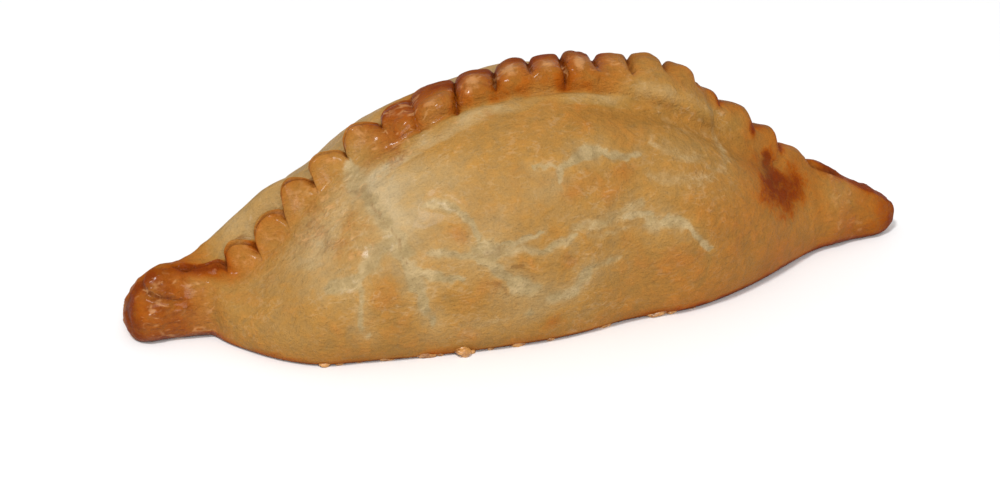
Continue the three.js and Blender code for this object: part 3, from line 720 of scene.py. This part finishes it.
def baking():
    """How brown each point is (0 raw, 1 burnt), how scorched it is, and how orange it is or, below
    0, how olive: from the places that heat and glaze reached."""
    x = flat_x
    rope = on_rope(zone)
    into = seat - rim_seat(x, turn)
    root = crimp_root(x)
    left = leftness(x)
    front = (girth > 0) & (zone < 3) & (wall < 1)
    over = np.maximum(ease(0.5, 1.0, wall) * left, ease(-0.1, 0.4, into) * (1 - left))
    behind = np.clip(over * rope + (zone >= 3), 0, 1)

    # the rope: where its brown begins, and how much browner it is than the dome
    lower = 0.28 * ease(-50, -40, x)
    soft = 0.10 + 0.16 * ease(28, 44, x)
    low_edge = root + 0.35 * ease(28, 44, x) - 0.07 * layers(plain, 5, 89)
    brown = ease(-0.80 - lower, -0.28 - lower, into) * left
    brown = brown + ease(-soft, 0.6 * soft, seat - low_edge) * (1 - left)
    top = ease(-0.3, 0.1, seat) * (1 - left)
    browner = 0.18 + 0.25 * ease(-46, -36, x) - 0.05 * ease(-16, 0, x) - 0.32 * ease(14, 26, x)
    browner = browner + 0.06 * ease(30, 38, x) + 0.08 * ease(40, 48, x)
    browner = (browner - 0.03 * left + 0.14 * (1 - ease(-82, -68, x))) * ease(-94, -82, x)
    browner = browner + 0.16 * top * (1 - ease(10, 30, x)) - 0.05 * (1 - top) * (1 - left)
    brow = hump(seat, 0.05, 0.2) * (1 - left) * ease(14, 26, x) * (1 - ease(58, 70, x)) * rope

    # a painted highlight along the small ridge under the middle crimps, paler, broken here and
    # there
    root_highlight = hump(seat - root, -0.22 - 0.2 * (1 - ease(-34, -14, x)), 0.17) * rope
    root_highlight = root_highlight * ease(-50, -40, x) * (1 - 0.6 * ease(-14, 2, x)) * (1 - ease(15, 40, x))
    root_highlight = root_highlight * np.clip(0.8 + 1.3 * layers(plain * np.array([0.5, 1, 1]), 4, 81), 0, 2)

    # the hollow under the crimps of the pointed half, browner and more olive there as painted
    # shade, and the pale shelf above it
    away, share, side = along_line(drawn_x, drawn_h, HOLLOW)
    shelf = hump(away, 5.5, 2.6) * (side > 0) * ease(0, 0.2, share) * (1 - ease(0.6, 0.9, share))
    hollow = hump(away, 0, 4.0) * ease(-5, 12, x) * front

    # the drawn-out ends, and the edge of the base
    noses = 0.32 * ease(-80, -92, x) + 0.16 * ease(77, 88, x) + 0.16 * ease(94, 104, x)
    ridge = ease(-0.6, -0.1, seat) * rope * ease(76, 86, np.abs(x))
    noses = noses + (0.16 + 0.16 * (x > 0)) * ridge
    level = plain[..., 2] + 0.9 * layers(plain, 7, 85)
    edge = 0.30 * (1 - ease(0.9, 2.2, level)) + 0.10 * (1 - ease(1, 8, plain[..., 2]))

    bake = 0.44 + 0.12 * ease(0, 60, x) + 0.05 * ease(-20, 10, x) + 0.05 * layers(plain, 14, 83)
    bake = bake + (brown * browner * rope + 0.24 * brow) * (1 - behind)
    bake = bake + 0.16 * hump(into, 0.0, 0.16) * left * rope * (1 - behind) * ease(-92, -82, x)
    bake = bake + noses + edge - 0.20 * root_highlight + (0.12 + 0.08 * ease(48, 58, x)) * hollow
    bake = bake - (0.20 * shelf + 0.38 * paler + 0.16 * halo) * front
    # painted shade: browner in the furrow under the middle crimps
    under = hump(seat, root, 0.07) * rope * ease(-48, -38, x) * (1 - ease(20, 38, x))
    crimps = crimped(turn) * ease(-0.75, -0.55, seat) * (1 - left) * rope
    # beside each crease: browned glaze, partly painted shade in the valleys between the crimps
    bake = bake + 0.07 * under + (0.16 - 0.08 * left) * beside - 0.04 * crimps
    bake = bake - behind * (0.06 + 0.08 * (1 - ease(-30, 30, x))) * ease(-88, -76, x)

    # the scorched patch, and a small spot above it
    mass = from_oval(64.8, 23.9, 10.4, 7, lean=0.2)
    burn = 0.35 * ease(1.7, 0.9, mass) + 0.6 * ease(1.25, 0.4, mass)
    burn = burn + 0.75 * hump(from_oval(61.3, 34.5, 2.2, 2.6), 0, 1)

    warm = 0.8 * warmer * front + 0.15 * brown * rope - 0.5 * behind * (1 - ease(-30, 10, x))
    warm = warm - 1.3 * hollow - 1.6 * brow
    warm = warm - 0.5 * rope * (1 - left) * (1 - ease(14, 26, x)) * ease(-0.75, -0.6, seat)

    # the base is browned evenly
    base = zone < 1
    return np.clip(np.where(base, 0.8, bake), 0, 1), np.clip(burn * ~base, 0, 1), warm


def glazing():
    """How thick the glaze lies, 0 to 1: on the crimps of the middle, run down in front of some of
    them, thinner on the lobes, on one smear below those, and on both ends."""
    x = flat_x
    rope = on_rope(zone)
    crimps = ease(-1.2, -1.0, seat - rim_seat(x, turn)) * rope * (1 - ease(0.3, 1, wall))
    crimps = crimps * (0.3 * ease(-85, -75, x) + 0.55 * ease(-50, -38, x)) * (1 - ease(12, 34, x))
    crimps = crimps * (1 - 0.85 * ease(-0.32, -0.05, seat) * (1 - leftness(x)))
    run = hump(seat, -0.85, 0.15) * rope * ease(-44, -36, x) * (1 - ease(-18, -6, x))
    smear = hump(from_oval(-55, 38, 7, 10), 0, 1) * (zone < 3)
    noses = ease(-80, -90, x) * (1 - 0.8 * ease(-99, -103, x))
    noses = noses + ease(78, 84, x) * (0.4 - 0.25 * ease(90, 96, x))
    noses = noses * (1 - 0.8 * ease(-0.5, -0.1, seat) * (zone >= 2))
    return np.clip(crimps + 0.5 * run + 0.8 * smear + noses, 0, 1)


class Sum:
    """A number that varies over a surface. Sums on it add Math nodes."""

    def __init__(self, net, socket):
        self.net = net
        self.socket = socket

    def __add__(self, other):
        return self.net.math("ADD", self, other)

    def __radd__(self, other):
        return self.net.math("ADD", other, self)

    def __sub__(self, other):
        return self.net.math("SUBTRACT", self, other)

    def __rsub__(self, other):
        return self.net.math("SUBTRACT", other, self)

    def __mul__(self, other):
        return self.net.math("MULTIPLY", self, other)

    def __rmul__(self, other):
        return self.net.math("MULTIPLY", other, self)


class Finish:
    """A material, and short ways to add its nodes."""

    def __init__(self, name, **constants):
        self.material = bpy.data.materials.new(name)
        self.material.use_nodes = True
        self.tree = self.material.node_tree
        self.shader = self.tree.nodes["Principled BSDF"]
        for key, value in constants.items():
            self.shader.inputs[key.replace("_", " ")].default_value = value

    def add(self, kind, settings=None, inputs=None):
        """A node of a type, its settings set first, then its sockets given values or links."""
        node = self.tree.nodes.new(kind)
        for key, value in (settings or {}).items():
            setattr(node, key, value)
        for key, value in (inputs or {}).items():
            self.plug(value, node.inputs[key])
        return node

    def plug(self, value, socket):
        """A number, colour or link into a socket."""
        value = value.socket if isinstance(value, Sum) else value
        if isinstance(value, bpy.types.NodeSocket):
            self.tree.links.new(value, socket)
        elif value is not None:
            socket.default_value = value

    def math(self, operation, first, second=None):
        """A sum of one or two numbers."""
        inputs = {0: first} if second is None else {0: first, 1: second}
        return Sum(self, self.add("ShaderNodeMath", {"operation": operation}, inputs).outputs[0])

    def mark(self, name):
        """A number kept on the points of the mesh."""
        return Sum(self, self.add("ShaderNodeAttribute", {"attribute_name": name}).outputs["Fac"])

    def place(self, stretch=(1, 1, 1), turn=(0, 0, 0), shift=(0, 0, 0)):
        """Object coordinates in millimetres, stretched, turned and moved."""
        here = self.add("ShaderNodeTexCoord").outputs["Object"]
        scale = tuple(1 / (MM * s) for s in stretch)
        inputs = {"Vector": here, "Rotation": turn, "Scale": scale, "Location": shift}
        return self.add("ShaderNodeMapping", {}, inputs).outputs[0]

    def scale(self, colour, factor):
        """A colour made lighter or darker."""
        inputs = {0: colour, "Scale": factor}
        return self.add("ShaderNodeVectorMath", {"operation": "SCALE"}, inputs).outputs[0]

    def noise(self, size, detail=2.0, rough=0.5, place=None, distort=0.0):
        """Noise of about a size in millimetres, from -1 to 1 and mostly near 0."""
        inputs = {"Vector": place or self.place(), "Scale": 1 / size, "Detail": detail,
                  "Roughness": rough, "Distortion": distort}
        return Sum(self, self.add("ShaderNodeTexNoise", {}, inputs).outputs["Fac"]) * 2 - 1

    def line(self, size, place, width):
        """1 along thin wandering lines, where a smooth noise crosses 0, and 0 beside them."""
        from_zero = self.math("ABSOLUTE", self.noise(size, 1, 0.5, place=place))
        return self.smooth(width, 0.2 * width, from_zero)

    def smooth(self, low, high, value):
        """0 below low, 1 above high, eased between; low may be the greater."""
        inputs = {"Value": value, "From Min": low, "From Max": high}
        node = self.add("ShaderNodeMapRange", {"interpolation_type": "SMOOTHSTEP"}, inputs)
        return Sum(self, node.outputs[0])

    def mix(self, factor, first, second):
        """The first colour at factor 0, the second at 1."""
        node = self.add("ShaderNodeMix", {"data_type": "RGBA"})
        self.plug(factor, node.inputs[0])
        self.plug(first, node.inputs[6])
        self.plug(second, node.inputs[7])
        return node.outputs[2]

    def ramp(self, value, stops):
        """The colour at a place on a scale of colours."""
        node = self.add("ShaderNodeValToRGB")
        elements = node.color_ramp.elements
        while len(elements) < len(stops):
            elements.new(0.5)
        for element, (position, colour) in zip(elements, stops):
            element.position = position
            element.color = colour
        self.plug(value, node.inputs[0])
        return node.outputs[0]

    def bump(self, height, distance):
        """Shades the surface as if it were raised by height times the distance."""
        inputs = {"Height": height, "Distance": distance * MM, "Strength": 1.0}
        self.plug(self.add("ShaderNodeBump", {}, inputs).outputs[0], self.shader.inputs["Normal"])

    def surface(self, **inputs):
        """Sets sockets of the shader, their names with _ for each space."""
        for key, value in inputs.items():
            self.plug(value, self.shader.inputs[key.replace("_", " ")])


def tint(red, green, blue, gain=1.0):
    """A colour given as seen, 0 to 255, as the linear colour a shader takes."""
    linear = [gain * ((c / 255 + 0.055) / 1.055) ** 2.4 for c in (red, green, blue)]
    return (*linear, 1.0)


# how light the crust's paint and the seams' paint are, against the colours seen by these lamps
GAIN = 0.785
SEAM_GAIN = 0.82
# the scale of browning: a value of the bake mark, and the dough's colour there
BAKED = (
    (0.00, tint(208, 184, 142, GAIN)),
    (0.25, tint(188, 152, 98, GAIN)),
    (0.45, tint(178, 131, 66, GAIN)),
    (0.60, tint(177, 119, 51, GAIN)),
    (0.75, tint(175, 107, 38, GAIN)),
    (0.88, tint(163, 82, 10, GAIN)),
    (1.00, tint(128, 50, 0, GAIN)),
)


def crust_finish():
    """Baked dough. The browning mark picks a colour along one scale from raw to burnt, blotched by
    noise at several sizes and drawn towards orange or olive in patches; over it lie the pale
    seams, the scorched patch and painted shade in the creases, and fine wrinkles lighten and
    darken it all; painted glints and highlights lie on top."""
    f = Finish("baked crust", IOR=1.4, Specular_IOR_Level=0.12, Specular_Tint=(1, 0.7, 0.4, 1),
               Coat_Roughness=0.14, Coat_IOR=1.3)
    drawn = f.place(stretch=(2.2, 1, 1), turn=(0, math.radians(20), 0))
    crossed = f.place(stretch=(1.8, 1, 1), turn=(0, math.radians(-40), 0), shift=(9, 3, 5))
    apart = f.place(shift=(40, 70, 20))
    blotch = f.noise(12, 3, 0.55, distort=0.6)
    patch = f.noise(3.6, 4, 0.62, distort=0.5)
    hue = f.noise(5.5, 3, 0.5, place=apart, distort=0.6)
    wrinkle = 0.5 * f.noise(1.1, 3, 0.6, place=drawn) + 0.5 * f.noise(1.3, 3, 0.6, place=crossed)
    grain = f.noise(0.5, 2, 0.6)

    # browning, and the scorched patch
    scorch = f.smooth(0.1, 1.05, f.mark("burn") + 0.34 * patch + 0.3 * wrinkle)
    level = f.mark("bake") + 0.06 * blotch + 0.16 * patch + 0.04 * wrinkle + 0.32 * scorch
    colour = f.ramp(level, BAKED)
    warm = f.mark("warm") + 0.8 * hue + 0.5 * patch
    orange = f.smooth(0.1, 1.4, warm) * 0.4 * (1 - scorch)
    olive = f.smooth(-0.1, -1.2, warm) * 0.36 * (1 - scorch)
    colour = f.mix(orange, colour, tint(186, 110, 50, GAIN))
    colour = f.mix(olive, colour, tint(156, 120, 56, GAIN))

    # pale seams, of two greys
    seam = f.mark("seam") + 0.25 * patch + 0.22 * wrinkle
    inside = f.smooth(0.28, 0.78, seam) * (0.90 + 0.3 * patch)
    grey, cream = tint(168, 144, 100, SEAM_GAIN), tint(188, 162, 117, SEAM_GAIN)
    pale = f.mix(f.smooth(-0.3, 0.3, hue + 0.5 * wrinkle), grey, cream)
    colour = f.mix(inside, colour, pale)

    # cracks, here and there; darker glaze; painted shade in the creases, the folds and along the
    # edge of the base
    crack = f.mark("crack") + 0.5 * patch + 0.2 * wrinkle
    broken = f.smooth(0.62, 0.1, crack) * f.smooth(-0.4, 0.1, hue + 0.5 * patch)
    colour = f.mix(broken * 0.32, colour, tint(130, 82, 38, GAIN))
    amber = f.mark("glaze") * f.smooth(-0.15, 0.5, patch - 0.6 * hue)
    colour = f.mix(amber * 0.6, colour, tint(130, 69, 16, GAIN))
    shade = f.smooth(0.1, 1.0, f.mark("crease") * (0.85 + 0.9 * patch))
    colour = f.mix(shade * 0.75, colour, tint(104, 46, 10, GAIN))

    # a web of fine light lines where the dough is pale: painted glints on its wrinkles
    web = f.line(1.9, drawn, 0.14) * f.smooth(-0.1, 0.25, f.noise(2.2, 1, 0.5, place=apart))
    thinned = f.smooth(-0.05, 0.3, f.noise(2.5, 1, 0.5, place=crossed))
    web = web + f.line(1.7, crossed, 0.14) * thinned
    painted_glints = web * f.smooth(0.7, 0.5, f.mark("bake") + 0.3 * scorch) * (0.05 + 0.16 * blotch)
    colour = f.mix(painted_glints, colour, tint(240, 216, 180, GAIN))
    colour = f.scale(colour, 1 + 0.20 * wrinkle + 0.18 * grain + 0.38 * patch + 0.18 * blotch)

    # painted highlights: light streaks along the glaze, and light faces of the crimps
    painted_streak = f.line(2.6, crossed, 0.15) * f.smooth(0, 0.35, f.noise(3.5, 1, 0.5, place=apart))
    painted_streak = f.math("MAXIMUM", painted_streak, f.line(1.8, drawn, 0.10) * f.smooth(0.1, 0.4, patch))
    painted_streak = painted_streak * f.smooth(0.1, 0.6, f.mark("glaze")) * 0.42
    painted_gleam = f.smooth(0.4, 1.1, f.mark("painted_highlight_mark") + 1.2 * patch + 0.5 * wrinkle)
    light = f.math("MAXIMUM", painted_streak, painted_gleam * 0.5)
    colour = f.mix(light, colour, tint(230, 170, 110, GAIN))

    glaze = f.smooth(0.15, 0.85, f.mark("glaze") + 0.6 * patch)
    shine = (0.06 + 0.42 * glaze) * (1 - scorch)
    f.surface(Base_Color=colour, Roughness=0.62 - 0.28 * glaze, Coat_Weight=shine)
    pits = f.noise(1.5, 1, 0.5, place=drawn) * glaze
    f.bump(0.7 * wrinkle + 0.15 * grain + 0.6 * patch + 0.7 * pits, 0.6)
    return f.material


bake, burn, warm = baking()
# the line of shade along the edge of the base
base_line = (1 - ease(0.2, 1.4, plain[..., 2] + 0.5 * layers(plain, 6, 87))) * (zone > 0.5)
MARKS = {
    "bake": bake,
    "burn": burn,
    "warm": warm,
    "glaze": glazing(),
    # painted highlights on the faces of the crimps
    "painted_highlight_mark": painted_highlight_mark * (1 - ease(8, 30, flat_x)),
    "seam": seams,
    "crack": np.clip(crack_distance(drawn_x, drawn_h), 0, 6),
    # painted shade: in the creases, grooves and folds, and along the edge of the base
    "crease": np.maximum(np.maximum(crease, fold_shade), base_line),
}


def crumbs():
    """Small baked-on blobs of filling along the front edge of the base, as one mesh: each a
    ball of rows and columns, squashed to its half sizes, roughened by noise and flat below."""
    rows, cols = 14, 20
    tilt = np.linspace(-np.pi / 2, np.pi / 2, rows + 2)[1:-1, None]
    around = np.linspace(0, 2 * np.pi, cols, endpoint=False)[None, :]
    ball = np.stack([np.cos(tilt) * np.cos(around), np.cos(tilt) * np.sin(around),
                     np.sin(tilt) + 0 * around], -1).reshape(-1, 3)
    ball = np.concatenate([ball, [[0, 0, -1], [0, 0, 1]]])
    index = np.arange(rows * cols).reshape(rows, cols)
    a, b = index[:-1], np.roll(index, -1, axis=1)[:-1]
    c, d = np.roll(index, -1, axis=1)[1:], index[1:]
    faces = np.stack([a, b, c, d], -1).reshape(-1, 4).tolist()
    low, high = rows * cols, rows * cols + 1
    faces += [(low, index[0, (k + 1) % cols], index[0, k]) for k in range(cols)]
    faces += [(high, index[-1, k], index[-1, (k + 1) % cols]) for k in range(cols)]
    edge = points[ROWS["base"]]
    vertices, every = [], []
    for number, (x, along, out, tall) in enumerate(CRUMBS):
        rough = 1 + 0.35 * layers(ball + 7.3 * number, 0.9, 95)
        blob = ball * rough[:, None] * (along, out, tall)
        blob[:, 2] = np.maximum(blob[:, 2] + 0.7 * tall, 0.03 * (1 + ball[:, 2]))
        here = (x, np.interp(x, edge[:, 0], edge[:, 1]) - 0.35 * out, 0)
        every += [[len(ball) * number + int(v) for v in face] for face in faces]
        vertices.append(blob + here)
    return mesh_piece("crumbs", np.concatenate(vertices) * MM, every)


def crumb_finish():
    """Filling that has boiled out and set: amber to dark brown, and shiny."""
    f = Finish("set filling", Roughness=0.45, Coat_Weight=0.5, Coat_Roughness=0.15)
    mixed = f.smooth(-0.4, 0.2, f.noise(1.4, 3, 0.6))
    f.surface(Base_Color=f.mix(mixed, tint(116, 64, 24), tint(196, 140, 72)))
    return f.material


crust = skin("crust", points, {key: to_vertices(value) for key, value in MARKS.items()})
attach(crust, "root")
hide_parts("pastry")
crust.data.materials.append(crust_finish())

scraps = crumbs()
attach(scraps, "root")
scraps.data.materials.append(crumb_finish())


# ---- studio ----

def floor():
    """A pale square, 3 m to each side."""
    piece = mesh_piece("floor", [(-3, -3, 0), (3, -3, 0), (3, 3, 0), (-3, 3, 0)], [(0, 1, 2, 3)])
    piece.data.materials.append(Finish("floor", Base_Color=(0.93, 0.93, 0.93, 1)).material)


def area(name, place, aim, size, power):
    """A round lamp, its place and size in metres and its power in watts."""
    data = bpy.data.lights.new(name, "AREA")
    data.shape = "DISK"
    data.size = size
    data.energy = power
    lamp = bpy.data.objects.new(name, data)
    lamp.location = place
    lamp.rotation_euler = (Vector(aim) - Vector(place)).to_track_quat("-Z", "Y").to_euler()
    bpy.context.scene.collection.objects.link(lamp)


def camera():
    """Looks from in front, a little from the blunt end and from above, with a long lens."""
    yaw, rise, distance = math.radians(18), math.radians(25), 0.52
    flat = math.cos(rise)
    back = Vector((-math.sin(yaw) * flat, -math.cos(yaw) * flat, math.sin(rise)))
    aim = Vector((-0.0077, 0, 0.0079))
    data = bpy.data.cameras.new("camera")
    data.lens = 72.43
    data.clip_start = 0.01
    eye = bpy.data.objects.new("camera", data)
    eye.location = aim + back * distance
    eye.rotation_euler = (-back).to_track_quat("-Z", "Y").to_euler()
    bpy.context.scene.collection.objects.link(eye)
    bpy.context.scene.camera = eye


floor()
area("key", place=(-1.2, -1.2, 3.0), aim=(0, 0, 0.03), size=0.6, power=68)
area("front", place=(-0.3, -3.3, 2.1), aim=(0, 0, 0.03), size=1.8, power=50)
world = bpy.data.worlds.new("studio")
world.use_nodes = True
sky = world.node_tree.nodes["Background"].inputs
sky["Color"].default_value = (1, 1, 1, 1)
sky["Strength"].default_value = 0.55
bpy.context.scene.world = world
camera()
bpy.context.scene.view_settings.view_transform = "Standard"
